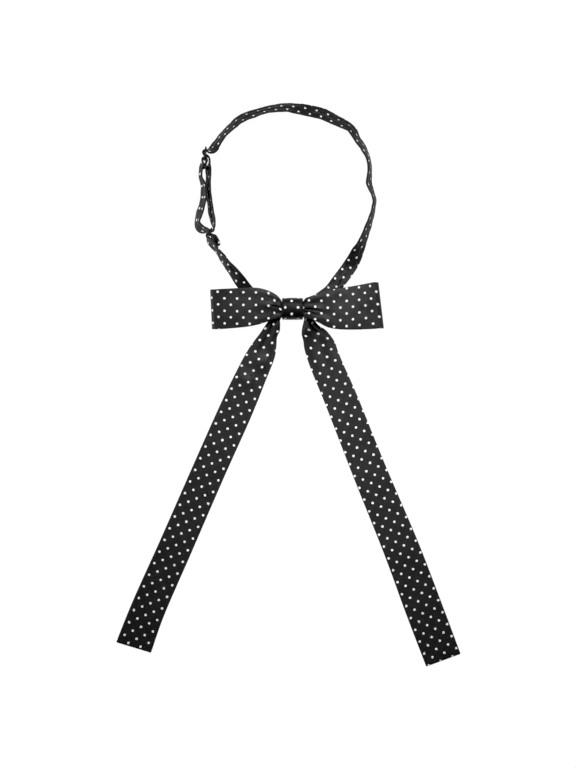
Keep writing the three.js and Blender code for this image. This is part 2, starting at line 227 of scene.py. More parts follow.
bowCloth = dottedCloth("bowCloth", cloth)
# The knot's material is the darker copy of the same cloth: painted shade
paintedShadeKnotCloth = dottedCloth("paintedShadeKnotCloth", paintedShadeCloth)
enamel = enamelledMetal("blackEnamel", blackEnamel)

print("strips of cloth")


# Cuts between a table's rows, on a smooth curve through every column
def smooth(rows, spacing):
    data = np.array(rows, float)
    padded = np.vstack([data[:1], data, data[-1:]])
    cuts = []
    for a, b, c, d in zip(padded, padded[1:], padded[2:], padded[3:]):
        slopeIn = (c - a) / 2
        slopeOut = (d - b) / 2
        bend = 3 * (c - b) - 2 * slopeIn - slopeOut
        turn = 2 * (b - c) + slopeIn + slopeOut
        steps = max(1, math.ceil(np.linalg.norm((c - b)[:2]) / spacing))
        cuts += [b + t * (slopeIn + t * (bend + t * turn)) for t in np.arange(steps) / steps]
    return np.array([*cuts, data[-1]])


def unit(vectors):
    return vectors / np.maximum(np.linalg.norm(vectors, axis=-1, keepdims=True), 1e-9)


# How far the middle line has run at each cut
def lengths(middle):
    line = middle[:, middle.shape[1] // 2]
    return np.concatenate([[0], np.cumsum(np.linalg.norm(np.diff(line, axis=0), axis=1))])


def waves(a, b, size, seed):
    spots = np.stack(np.broadcast_arrays(a / size, b / size), -1)
    values = [noise.noise(Vector((*spot, seed))) for spot in spots.reshape(-1, 2)]
    return np.array(values).reshape(spots.shape[:-1])


# Rises from 0 to 1 between two values
def ramp(value, start, end):
    share = np.clip((value - start) / (end - start), 0, 1)
    return share * share * (3 - 2 * share)


# A fold is a dent with a lower ridge beside it. It sinks in over its lead and keeps its depth
# over a share of its run, and ridgeAt counts in widths of the fold.
creaseShape = {"lead": 2.5, "fullShare": 0.4, "ridge": 0.6, "ridgeAt": 1.7}


# Folds along a strip: at is the place across where each starts, and drift is how far it wanders
def creases(v, along, rows):
    lift = np.zeros(np.broadcast(v, along).shape)
    for start, end, at, drift, width, depth in rows:
        share = np.clip((along - start) / (end - start), 0, 1)
        offset = (v - at - drift * share) / width
        fadeFrom = start + creaseShape["fullShare"] * (end - start)
        fade = ramp(along, start - creaseShape["lead"], start) * (1 - ramp(along, fadeFrom, end))
        ridge = creaseShape["ridge"] * np.exp(-(offset - creaseShape["ridgeAt"]) ** 2)
        lift += depth * fade * (-np.exp(-offset**2) + ridge)
    return lift


# Soft humps, each at a distance along the strip and a place across it
def humps(v, along, rows):
    lift = np.zeros(np.broadcast(v, along).shape)
    for at, across, length, width, height in rows:
        lift += height * np.exp(-(((along - at) / length) ** 2) - ((v - across) / width) ** 2)
    return lift


softness = 6


# Holds heights above a lower limit, with a soft turn where they would pass through it
def heldAbove(height, low):
    return low + np.logaddexp(0, (height - low) * softness) / softness


edgeAngles = np.radians([22, 56, 90, 124, 158])
rimWidth = 1.6
seamWidth = 0.35


def halfWidths(middle):
    return np.linalg.norm(middle[:, -1] - middle[:, 0], axis=1)[:, None] / 2


# A ring of points round the strip at each cut: its underside from the middle out, one rounded
# edge, the top, the other edge, and the underside back to the middle, where a seam may sink in.
# The wall is offset from the flow, the strip without its small folds, so that a narrow fold
# doesn't cut into itself.
def ringsRound(middle, thickness, flow, endless, seam):
    count, points, _ = middle.shape
    if endless:
        along = np.roll(flow, -1, 0) - np.roll(flow, 1, 0)
    else:
        along = np.gradient(flow, axis=0)
    across = np.gradient(flow, axis=1)
    normal = unit(np.cross(along, across))
    half = np.broadcast_to(np.asarray(thickness, float) / 2, (count, points))[..., None]
    fromSeam = np.linspace(-1, 1, points) * halfWidths(middle)
    groove = seam * np.exp(-((fromSeam / seamWidth) ** 2))[..., None]
    top = middle + normal * half
    bottom = middle - normal * (half - groove)

    def rim(column, side):
        out = side * unit(across[:, column])
        return [
            middle[:, column] + half[:, column] * (math.cos(a) * normal[:, column] + math.sin(a) * out)
            for a in edgeAngles
        ]

    centre = points // 2
    left = np.stack(rim(0, -1)[::-1], 1)
    right = np.stack(rim(-1, 1), 1)
    return np.concatenate([bottom[:, centre::-1], left, top, right, bottom[:, :centre:-1]], 1)


# The cloth's own width round each ring, from the seam, round both edges and back to the seam
def ringWidths(middle):
    points = middle.shape[1]
    centre = points // 2
    v = np.linspace(-1, 1, points)
    halfWidth = halfWidths(middle)
    edge = rimWidth * (np.arange(len(edgeAngles)) + 1) / (len(edgeAngles) + 1)
    under = halfWidth * (1 - np.abs(v))
    return np.concatenate([
        -(halfWidth + rimWidth + under[:, centre::-1]),
        -(halfWidth + edge[::-1]),
        halfWidth * v,
        halfWidth + edge,
        halfWidth + rimWidth + under[:, :centre:-1],
        2 * halfWidth + rimWidth,
    ], axis=1)


# Faces from each ring to the next, with the width and the run at each of their corners
def sideFaces(rings, widths, run, endless):
    count, size = rings.shape[:2]
    faces, spots = [], []
    for i in range(count if endless else count - 1):
        here, after = i * size, (i + 1) % count * size
        near, far = widths[i], widths[(i + 1) % count]
        low, high = run[i], run[i + 1]
        for k in range(size):
            beside = (k + 1) % size
            faces.append((here + k, after + k, after + beside, here + beside))
            spots += [(near[k], low), (far[k], high), (far[k + 1], high), (near[k + 1], low)]
    return faces, spots


# The two ends of a strip, closed from each point of the top to the one under it
def endFaces(rings, widths, run, points):
    count, size = rings.shape[:2]
    centre = points // 2
    first = centre + 1 + len(edgeAngles)
    tops = list(range(first, first + points))
    unders = [centre - j if j <= centre else size - j + centre for j in range(points)]
    leftRim = list(range(centre + 1, first))
    rightRim = list(range(first + points, first + points + len(edgeAngles)))
    caps = [(unders[0], *leftRim, tops[0]), (tops[-1], *rightRim, unders[-1])]
    caps += [(tops[j], tops[j + 1], unders[j + 1], unders[j]) for j in range(points - 1)]
    last = (count - 1) * size
    faces, spots = [], []
    for cap in caps:
        faces.append(cap)
        spots += [(widths[0][k], run[0]) for k in cap]
        faces.append([last + k for k in reversed(cap)])
        spots += [(widths[-1][k], run[-1]) for k in reversed(cap)]
    return faces, spots


# The place on the cloth that the camera sees in line with a point of the floor
def placeSeen(name, vertices, faces, places, floorPoint):
    tree = BVHTree.FromPolygons(vertices, faces)
    target = Vector((*floorPoint, 0)) * mm
    hit, _, index, _ = tree.ray_cast(cameraAt, (target - cameraAt).normalized())
    if hit is None:
        raise SystemExit(f"{name}: no cloth lies under {floorPoint}")
    corners = faces[index]
    offset = sum(len(face) for face in faces[:index])
    shares = poly_3d_calc([Vector(vertices[k]) for k in corners], hit)
    return np.array(shares) @ places[offset:offset + len(corners)]


# A closed body of cloth round a grid of middle points, which runs along the strip and from
# one edge to the other. The dots keep their spacing where the strip is gathered, as the
# rest of the cloth is tucked into its folds.
def clothBody(name, middle, thickness, pattern, material, base=None, endless=False, seam=0.0):
    points = middle.shape[1]
    rings = ringsRound(middle, thickness, middle if base is None else base, endless, seam)
    widths = ringWidths(middle)
    run = lengths(middle)
    if endless:
        closing = middle[0, points // 2] - middle[-1, points // 2]
        run = np.append(run, run[-1] + np.linalg.norm(closing))
    faces, spots = sideFaces(rings, widths, run, endless)
    if not endless:
        ends, endSpots = endFaces(rings, widths, run, points)
        faces += ends
        spots += endSpots
    vertices = (rings.reshape(-1, 3) * mm).tolist()
    places = np.array(spots)
    places[:, 0] += pattern.get("skew", 0) * places[:, 1]

    # The lattice is shifted so that a dot lies where the camera sees the one that is named
    places -= placeSeen(name, vertices, faces, places, pattern["dotAt"])
    places /= pattern["step"]

    mesh = bpy.data.meshes.new(name)
    mesh.from_pydata(vertices, [], faces)
    layer = mesh.uv_layers.new(name="cloth")
    layer.data.foreach_set("uv", places.ravel())
    mesh.shade_smooth()
    mesh.materials.append(material)
    piece = bpy.data.objects.new(name, mesh)
    bpy.context.collection.objects.link(piece)
    return piece


endShare = 0.45


# Cloth ends turned in and pressed: the last cut is drawn in to a thin edge
def thinEnds(thickness, count, ends=(True, True)):
    result = np.full((count, 1), float(thickness))
    for at, wanted in zip((0, -1), ends):
        if wanted:
            result[at] *= endShare
    return result


def flatLength(middle):
    return float(lengths(middle)[-1])


def place(piece, slot, *nodes):
    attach(piece, body)
    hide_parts(*nodes)


print("tails")

tail = {
    "thickness": 1.15, "width": 23.4, "points": 45, "spacing": 1.4, "pleats": 2, "rest": 0.02, "seam": 0.25,
    "rollRise": 0.35, "rollSize": 34, "rollFrom": (20, 60), "rippleRise": 0.12, "rippleSize": 9,
}

# Rows: outer edge x and y, inner edge x and y, height, depth of the pleats.
# Creases: start, end, place across, drift, width, depth. Humps: place along and across,
# length, width, height.

leftTail = {
    "rows": [
        (-0.6, 3.2, -0.6, -5.4, 4.5, 0.05),
        (-6.6, 3.0, -5.4, -5.5, 4.5, 0.05),
        (-11.0, 0.6, -7.8, -6.4, 4.4, 0.2),
        (-14.8, -4.4, -8.6, -8.2, 3.8, 0.5),
        (-17.2, -8.8, -8.6, -11.6, 2.9, 0.7),
        (-20.0, -12.9, -8.9, -15.6, 2.2, 0.8),
        (-22.6, -16.8, -10.8, -19.8, 1.7, 0.7),
        (-26.4, -21.8, -11.2, -25.4, 1.2, 0.45),
        (-31.2, -28.7, -12.6, -34.5, 0.9, 0.2),
        (-38.2, -41.5, -18.6, -49.9, 0.7, 0),
        (-50.7, -67.2, -29.4, -76.6, 0.7, 0),
        (-69.5, -109.2, -48.3, -118.8, 0.7, 0),
        (-92.6, -161.7, -71.0, -171.2, 0.7, 0),
        (-111.5, -203.7, -89.4, -213.5, 0.7, 0),
        (-123.4, -233.1, -98.9, -240.5, 0.7, 0),
    ],
    "creases": [
        (11, 30, 0.2, 0.35, 0.14, 1.2),
        (11, 26, -0.25, -0.1, 0.18, 0.7),
        (14, 34, 0.7, 0.1, 0.14, 0.9),
    ],
    "humps": [
        (17.5, 0.6, 3, 0.4, 2.4),
        (17, -0.5, 6, 0.6, -1.3),
        (46, 0.3, 5, 0.5, 1.1),
        (62, -0.2, 5, 0.5, 0.8),
    ],
    "pattern": {"dotAt": (-42.7, -55.7), "step": 8.9},
    "seed": 3,
}
rightTail = {
    "rows": [
        (0.6, 3.2, 0.6, -5.4, 4.5, 0.05),
        (6.6, 3.0, 5.4, -5.5, 4.5, 0.05),
        (11.2, 0.6, 7.9, -6.2, 4.4, 0.2),
        (14.2, -5.2, 7.7, -9.2, 3.8, 0.5),
        (17.5, -10.8, 6.7, -13.2, 2.9, 0.7),
        (22.8, -14.4, 6.4, -17.8, 2.2, 0.8),
        (26.6, -18.6, 7.4, -21.9, 1.7, 0.7),
        (29.8, -23.6, 8.4, -28.4, 1.2, 0.45),
        (32.2, -30.5, 11.4, -38.2, 0.9, 0.2),
        (36.2, -40.0, 15.4, -48.4, 0.7, 0),
        (45.4, -60.9, 24.0, -69.5, 0.7, 0),
        (65.0, -109.2, 42.8, -118.2, 0.7, 0),
        (87.4, -161.7, 63.9, -171.1, 0.7, 0),
        (103.6, -203.7, 79.4, -213.4, 0.7, 0),
        (117.6, -241.2, 93.5, -250.2, 0.7, 0),
    ],
    "creases": [
        (11, 32, 0.05, 0.25, 0.13, 1.4),
        (11, 34, -0.5, -0.1, 0.16, 1.1),
        (16, 34, 0.6, 0.1, 0.16, 0.6),
    ],
    "humps": [(19, -0.4, 4, 0.5, 3.2), (18, 0.65, 6, 0.4, -1.0)],
    "pattern": {"dotAt": (21.63, -39.27), "step": 8.9},
    "seed": 11,
}


def buildTail(name, node, side):
    cuts = smooth(side["rows"], tail["spacing"])
    outerX, outerY, innerX, innerY, height, pleatDepth = cuts.T
    outer = np.column_stack([outerX, outerY, height])
    inner = np.column_stack([innerX, innerY, height])
    left, right = (outer, inner) if outerX[-1] < 0 else (inner, outer)
    v = np.linspace(-1, 1, tail["points"])
    centre = (left + right) / 2
    half = (right - left) / 2
    width = np.linalg.norm(half, axis=1, keepdims=True)
    half *= 1 - tail["thickness"] / 2 / width
    middle = centre[:, None] + half[:, None] * v[None, :, None]
    along = lengths(middle)[:, None]
    lift = pleatDepth[:, None] * -np.cos(math.pi * tail["pleats"] * v)
    lift = lift + creases(v, along, side["creases"]) + humps(v, along, side["humps"])
    flatU = v * tail["width"] / 2
    roll = tail["rollRise"] * (1 + waves(along, flatU, tail["rollSize"], side["seed"]))
    lift = lift + roll * ramp(along, *tail["rollFrom"])
    lift = lift + tail["rippleRise"] * waves(along, flatU, tail["rippleSize"], side["seed"] + 5)
    base = middle.copy()
    middle[..., 2] += lift
    middle[..., 2] = heldAbove(middle[..., 2], tail["thickness"] / 2 + tail["rest"])
    thickness = thinEnds(tail["thickness"], len(cuts), (False, True))
    piece = clothBody(name, middle, thickness, side["pattern"], bowCloth, base, seam=tail["seam"])
    place(piece, "tail_cloth", node)
    print(name, "flat length", round(flatLength(middle), 1), "mm")
    return piece


leftTailPiece = buildTail("leftTail", "tail_left", leftTail)
rightTailPiece = buildTail("rightTail", "tail_right", rightTail)

print("loops")

loop = {
    "points": 65, "spacing": 0.9, "width": 28.6, "thin": 0.85, "pleats": 2.5, "pleatShare": 0.3,
    "crown": 0.3, "foldCuts": 16, "foldBlend": 1.5, "between": 0.15, "softFrom": (9, 22),
    "rollRise": 0.4, "rollSize": 17, "rippleRise": 0.1, "rippleSize": 6,
}

# Rows: upper edge x and y, lower edge x and y, height of the front and the back layer,
# thickness, depth of the pleats

leftLoop = {
    "rows": [
        (-0.5, 4.5, -0.5, -4.5, 8.6, 6.5, 1.6, 0.05),
        (-7.3, 4.3, -7.3, -4.5, 8.6, 6.5, 1.6, 0.05),
        (-8.1, 6.2, -7.9, -6.0, 8.8, 6.5, 1.6, 0.3),
        (-9.4, 7.9, -9.4, -6.6, 9.0, 6.4, 1.5, 0.5),
        (-11.4, 9.7, -11.4, -6.9, 9.4, 6.4, 1.4, 0.6),
        (-14.3, 11.4, -14.3, -7.9, 9.8, 6.2, 1.3, 0.65),
        (-18.5, 13.1, -18.5, -9.4, 10.2, 5.6, 1.3, 0.5),
        (-24.5, 14.4, -24.5, -11.2, 10.6, 4.7, 1.3, 0.25),
        (-32.0, 14.5, -32.0, -12.6, 10.7, 4.3, 1.3, 0.1),
        (-42.0, 14.0, -42.0, -13.6, 10.3, 4.0, 1.3, 0),
        (-49.5, 13.7, -49.0, -14.1, 9.6, 3.5, 1.3, 0),
        (-54.0, 13.4, -52.7, -14.3, 8.9, 3.1, 1.3, 0),
    ],
    "creases": [
        (7.5, 16, 0.0, 0.0, 0.09, 1.3),
        (8, 13, -0.55, -0.1, 0.14, 0.5),
        (8, 12, 0.6, 0.1, 0.14, 0.35),
    ],
    "humps": [(21.5, 0.1, 3, 0.9, 0.45), (13, -0.7, 2.5, 0.25, -0.5), (10, -0.9, 4, 0.6, -0.9)],
    "pattern": {"dotAt": (-38.8, -1.5), "step": 8.75, "skew": 0.09},
    "seed": 21,
}
rightLoop = {
    "rows": [
        (0.5, 4.5, 0.5, -4.5, 8.6, 6.5, 1.6, 0.05),
        (7.3, 4.2, 7.3, -4.5, 8.6, 6.5, 1.6, 0.05),
        (8.1, 6.1, 7.9, -6.2, 8.8, 6.5, 1.6, 0.3),
        (9.2, 7.4, 9.2, -6.7, 9.0, 6.4, 1.5, 0.55),
        (11.2, 8.1, 11.2, -7.0, 9.4, 6.4, 1.4, 0.7),
        (14.3, 9.2, 14.3, -8.0, 9.8, 6.2, 1.3, 0.8),
        (19.0, 10.9, 19.0, -10.1, 10.2, 5.6, 1.3, 0.7),
        (24.5, 12.4, 24.5, -12.9, 10.6, 4.7, 1.3, 0.45),
        (32.0, 13.9, 32.0, -14.3, 10.7, 4.1, 1.3, 0.2),
        (43.0, 15.8, 43.0, -14.6, 10.4, 3.7, 1.3, 0.05),
        (52.0, 17.5, 54.0, -14.2, 9.7, 3.3, 1.3, 0),
        (56.4, 18.4, 60.2, -13.8, 9.0, 3.0, 1.3, 0),
    ],
    "creases": [
        (7.5, 22, -0.05, -0.2, 0.08, 1.2),
        (7.5, 19, -0.42, -0.16, 0.09, 1.0),
        (7.5, 12, 0.6, 0.1, 0.13, 0.5),
    ],
    "humps": [
        (25, 0.45, 4, 0.3, 0.5),
        (23, -0.6, 4, 0.25, 0.5),
        (15, 0.3, 3, 0.2, -0.5),
        (10, -0.85, 5, 0.6, -0.9),
    ],
    "pattern": {"dotAt": (37.9, -3.15), "step": 8.75},
    "seed": 27,
}


# A loop runs under the bow to its outer fold, round the fold and back over the top
def buildLoop(name, node, side):
    cuts = smooth(side["rows"], loop["spacing"])
    upperX, upperY, lowerX, lowerY, frontHeight, backHeight, wall, pleatDepth = cuts.T
    toRight = np.sign(upperX[-1])
    radius = (frontHeight[-1] - backHeight[-1]) / 2
    angles = np.pi * (np.arange(1, loop["foldCuts"]) / loop["foldCuts"] - 0.5)

    def layer(height):
        return np.column_stack([upperX, upperY, height]), np.column_stack([lowerX, lowerY, height])

    backTop, backLow = layer(backHeight)
    frontTop, frontLow = layer(frontHeight)
    turned = np.column_stack([
        toRight * radius * np.cos(angles), np.zeros(len(angles)), radius * (1 + np.sin(angles))
    ])
    topLine = np.vstack([backTop, backTop[-1] + turned, frontTop[::-1]])
    lowLine = np.vstack([backLow, backLow[-1] + turned, frontLow[::-1]])

    # One column of values for the whole run: the back layer, the fold and the front layer
    def wholeRun(back, fold, front):
        return np.concatenate([back, np.full(len(angles), fold), front[::-1]])[:, None]

    along = wholeRun(np.abs(upperX), np.abs(upperX[-1]), np.abs(upperX))
    blend = ramp(angles, -loop["foldBlend"], loop["foldBlend"])
    isFront = wholeRun(np.zeros(len(cuts)), blend, np.ones(len(cuts)))
    pleat = wholeRun(-pleatDepth / 2, 0, pleatDepth)
    thickness = wholeRun(wall, wall[-1], wall) * loop["thin"]

    v = np.linspace(-1, 1, loop["points"])
    start, finish = (topLine, lowLine) if toRight > 0 else (lowLine, topLine)
    centre = (start + finish) / 2
    half = (finish - start) / 2
    width = np.linalg.norm(half, axis=1, keepdims=True)
    half = half * (1 - thickness / 2 / width)
    middle = centre[:, None] + half[:, None] * v[None, :, None]
    flatU = v * loop["width"] / 2
    outward = np.sign(isFront - 0.5 + 1e-6)  # the back layer gets other ripples than the front one
    lift = loop["pleatShare"] * pleat * np.cos(math.pi * loop["pleats"] * v)
    lift = lift - loop["crown"] * isFront * v**2
    upward = v * -toRight
    folds = creases(upward, along, side["creases"]) + humps(upward, along, side["humps"])
    lift = lift + isFront * folds
    soft = ramp(along, *loop["softFrom"])
    roll = waves(along, flatU, loop["rollSize"], side["seed"])
    ripple = waves(along * outward, flatU, loop["rippleSize"], side["seed"] + 4)
    lift = lift + loop["rollRise"] * soft * isFront * roll
    lift = lift + loop["rippleRise"] * soft * ripple
    base = middle.copy()
    middle[..., 2] += lift

    # Dents in the front layer stop just above the back one
    front = middle[-len(cuts):]
    lowest = middle[:len(cuts)][::-1, :, 2] + thickness[-len(cuts):] + loop["between"]
    front[..., 2] = heldAbove(front[..., 2], lowest)
    piece = clothBody(name, middle, thickness, side["pattern"], bowCloth, base)
    place(piece, "bow_cloth", node)
    print(name, "flat length", round(flatLength(middle), 1), "mm")
    return piece


leftLoopPiece = buildLoop("leftLoop", "bow_loop_left", leftLoop)
rightLoopPiece = buildLoop("rightLoop", "bow_loop_right", rightLoop)

print("knot")

knot = {
    "width": 14.6, "depth": 15.4, "height": 12, "thickness": 1.35, "flat": 4.2, "rimSink": 0.3,
    "shoulderRise": 0.92, "shoulderReach": 0.93, "cornerSteps": 30, "sideSteps": 60,
    "cuts": 150, "points": 33,
    "gathers": [(-0.66, 0.2, 0.12), (0.22, 0.24, 0.1), (0.8, 0.16, 0.2)],  # place, width, depth
    "gatherDrift": 0.06, "softFrom": (1.5, 6), "rippleRise": 0.12, "rippleSize": 4, "rippleTurn": 6,
    "seed": 41,
    "pattern": {"dotAt": (-0.56, -3.5), "step": 8.75},
}


def bezier(a, b, c, d, t):
    t = t[:, None]
    return (1 - t) ** 3 * a + 3 * t * (1 - t) ** 2 * b + 3 * t**2 * (1 - t) * c + t**3 * d


# The knot's outline in Y and Z: flat below, rounded at the corners and full over the top
def knotOutline(look):
    inset = look["thickness"] / 2
    side = look["depth"] / 2 - inset
    top = look["height"] - inset
    flat = look["flat"]
    corner = side - flat
    steps = look["cornerSteps"]
    turn = np.linspace(0, np.pi / 2, steps)[1:]
    under = np.column_stack([np.linspace(-flat, flat, steps), np.full(steps, inset)])
    lowRight = np.column_stack([flat + corner * np.sin(turn), inset + corner * (1 - np.cos(turn))])
    t = np.linspace(0, 1, look["sideSteps"])[1:]
    rise, reach = top * look["shoulderRise"], flat * look["shoulderReach"]
    foot = inset + corner
    points = [(side, foot), (side, rise), (reach, top), (0, top)]
    right = bezier(*[np.array(point) for point in points], t)
    left = right[::-1][1:] * (-1, 1)
    left = np.vstack([left, [(-side, foot)]])
    lowLeft = lowRight[::-1][1:] * (-1, 1)
    path = np.vstack([under, lowRight, right, left, lowLeft])
    run = np.concatenate([[0], np.cumsum(np.linalg.norm(np.diff(path, axis=0), axis=1))])
    closing = run[-1] + np.linalg.norm(path[0] - path[-1])
    spots = np.arange(look["cuts"]) * closing / look["cuts"]
    path = np.vstack([path, path[:1]])
    run = np.append(run, closing)
    return np.column_stack([np.interp(spots, run, path[:, 0]), np.interp(spots, run, path[:, 1])])


def buildKnot(look):
    outline = knotOutline(look)
    v = np.linspace(-1, 1, look["points"])
    half = look["width"] / 2 - look["thickness"] / 2
    middle = np.zeros((len(outline), len(v), 3))
    middle[..., 0] = v * half
    middle[..., 1] = outline[:, :1]
    middle[..., 2] = outline[:, 1:]
    ahead = np.roll(outline, -1, 0) - np.roll(outline, 1, 0)
    out = unit(np.column_stack([ahead[:, 1], -ahead[:, 0]]))
    upper = ramp(outline[:, 1], *look["softFrom"])[:, None]
    turn = np.arange(len(outline)) / len(outline) * 2 * np.pi
    drift = look["gatherDrift"] * np.sin(turn * 2)[:, None]
    lift = -look["rimSink"] * upper * v**2
    for at, width, depth in look["gathers"]:
        lift = lift - depth * upper * np.exp(-(((v - at - drift) / width) ** 2))
    aroundX = look["rippleTurn"] * np.cos(turn)[:, None]
    aroundY = look["rippleTurn"] * np.sin(turn)[:, None]
    ripple = waves(aroundX + v * half, aroundY, look["rippleSize"], look["seed"])
    lift = lift + look["rippleRise"] * upper * ripple
    middle[..., 1] += lift * out[:, :1]
    middle[..., 2] += lift * out[:, 1:]
    # The knot is wrapped in the darker copy of the cloth, which is painted shade
    piece = clothBody("knot", middle, look["thickness"], look["pattern"], paintedShadeKnotCloth, endless=True)
    place(piece, "bow_cloth", "knot_wrap")
    return piece


knotPiece = buildKnot(knot)

print("neckband")

band = {
    "thickness": 1.3, "width": 10.2, "inSlot": 8.8, "slotLift": 1.6, "points": 25, "spacing": 0.9,
    "wrapStep": 8, "rippleRise": 0.4, "rippleSize": 5, "wanderRise": 0.6, "wanderSize": 11,
    "cupRise": 0.22, "cupMiddle": 0.4, "cupChange": 0.8, "cupSize": 23,
    "creaseAt": 0.42, "creaseWander": 0.35, "creaseWanderSize": 21,
    "creaseDepth": 0.7, "creaseMean": 0.5, "creaseSize": 30, "creaseWidth": 0.14,
    "freeFrom": (0.5, 0.1), "lowestShare": 0.42, "shortestStep": 0.2,
}

# The band passes round the hardware's bars, so these sizes and places repeat the solids'
solid = {"band": 1.5, "bar": 1, "play": 0.4, "gap": 0.3}
wrapRadius = solid["bar"] / 2 + solid["play"] + solid["band"] / 2
secondRadius = wrapRadius + solid["band"] + solid["gap"]
slideFoot = np.array((-61.2, 103.6))
slideLean = 83.7
slideDirection = np.array((math.cos(math.radians(slideLean)), math.sin(math.radians(slideLean))))
slideMiddle = slideFoot + slideDirection * (wrapRadius + secondRadius)
linkLong = np.array((-56.4, 55.6))
linkShort = np.array((-58.2, 50.8))
full = band["width"]
slim = band["inSlot"]
lifted = band["slotLift"]

# Rows: x, y, tilt in degrees, width, lift off the floor. The inner edge is the raised one,
# and past 90 the strip leans the other way.
neckRows = [
    (0.5, 0.1, 0, 8.6, 1.85),
    (7.2, 0.6, 0, 8.6, 1.85),
    (13.2, 3.2, 0, 9.2, 0.6),
    (20.0, 7.0, 0, full, 0),
    (26.9, 12.3, 0, full, 0),
    (32.2, 19.2, 0, full, 0),
    (36.8, 25.2, 2, full, 0),
    (40.9, 31.1, 8, full, 0),
    (44.2, 37.1, 25, full, 0),
    (47.4, 43.8, 48, full, 0),
    (50.3, 50.4, 61, full, 0),
    (54.9, 63.3, 72, full, 0),
    (57.2, 72.8, 78, full, 0),
    (55.9, 80.1, 75, full, 0),
    (53.9, 87.1, 67, full, 0),
    (53.9, 95.2, 74, full, 0),
    (53.0, 104.2, 74, full, 0),
    (49.6, 112.0, 65, full, 0),
    (45.9, 117.8, 60, full, 0),
    (41.3, 125.3, 54, full, 0),
    (34.2, 129.7, 44, full, 0),
    (22.8, 135.4, 34, full, 0),
    (8.8, 138.9, 34, full, 0),
    (-5.9, 140.5, 50, full, 0),
    (-20.6, 138.3, 57, full, 0),
    (-34.6, 133.2, 51, full, 0),
    (-45.4, 124.9, 60, full, 0),
    (-53.0, 115.3, 57, full, 0),
    (-54.8, 112.2, 50, full, 0.3),
    (-56.6, 110.6, 53, full, 0.9),
    (-58.4, 110.2, 67, 9.4, 1.3),
    (-59.6, 110.4, 82, slim, lifted),
]
strandDownRows = [
    (-57.9, 101.0, 85, full, 1.2),
    (-58.9, 97.6, 68, full, 0.4),
    (-58.9, 92.0, 71, full, 0),
    (-58.7, 83.3, 71, full, 0),
    (-58.1, 75.5, 70, full, 0),
    (-57.1, 68.3, 69, full, 0),
    (-55.7, 61.8, 70, full, 0.3),
    (-54.8, 57.8, 78, slim, 1.4),
]
strandUpRows = [
    (-59.4, 54.9, 103, slim, 1.4),
    (-62.6, 55.2, 118, full, 0.4),
    (-65.2, 57.2, 118, full, 0),
    (-66.1, 61.0, 111, full, 0),
    (-64.5, 67.2, 118, full, 0),
    (-62.9, 72.6, 115, full, 0),
    (-61.7, 79.0, 114, full, 0),
    (-61.9, 85.8, 109, full, 0),
    (-63.8, 91.4, 102, full, 0),
    (-63.9, 95.8, 104, full, 0.2),
    (-63.1, 99.6, 107, full, 0.9),
]
sewnEndRows = [
    (-60.2, 102.0, 84, slim, lifted),
    (-61.0, 100.4, 78, slim, 1.2),
    (-61.5, 98.9, 76, full, 0.8),
    (-61.7, 97.4, 74, full, 0.5),
]
foldEndRows = [
    (-52.2, 43.4, 112, full, 0.2),
    (-53.2, 46.5, 116, full, 0.7),
    (-54.6, 49.6, 116, slim, lifted),
]
shortRows = [
    (-58.0, 47.6, 66, slim, lifted),
    (-55.7, 44.4, 67, full, 0.6),
    (-52.3, 40.2, 74, full, 0),
    (-48.3, 34.8, 64, full, 0),
    (-44.8, 30.2, 59, full, 0),
    (-41.0, 25.4, 47, 9.9, 0),
    (-37.3, 20.5, 33, 9.7, 0),
    (-33.0, 14.9, 13, 8.6, 0),
    (-28.0, 9.2, 2, 8.8, 0),
    (-21.0, 4.4, 0, 9.2, 0),
    (-14.0, 1.8, 0, full, 0.7),
    (-7.2, 0.4, 0, 8.6, 1.85),
    (-0.5, 0.1, 0, 8.6, 1.85),
]


# Rows of the band round an upright bar, from one direction in degrees to another
def roundBar(bar, radius, start, end):
    steps = math.ceil(abs(end - start) / band["wrapStep"])
    angles = np.radians(np.linspace(start, end, steps + 1))
    rows = np.zeros((steps + 1, 5))
    rows[:, 0] = bar[0] + radius * np.cos(angles)
    rows[:, 1] = bar[1] + radius * np.sin(angles)
    rows[:, 2:] = (90, slim, lifted)
    return rows


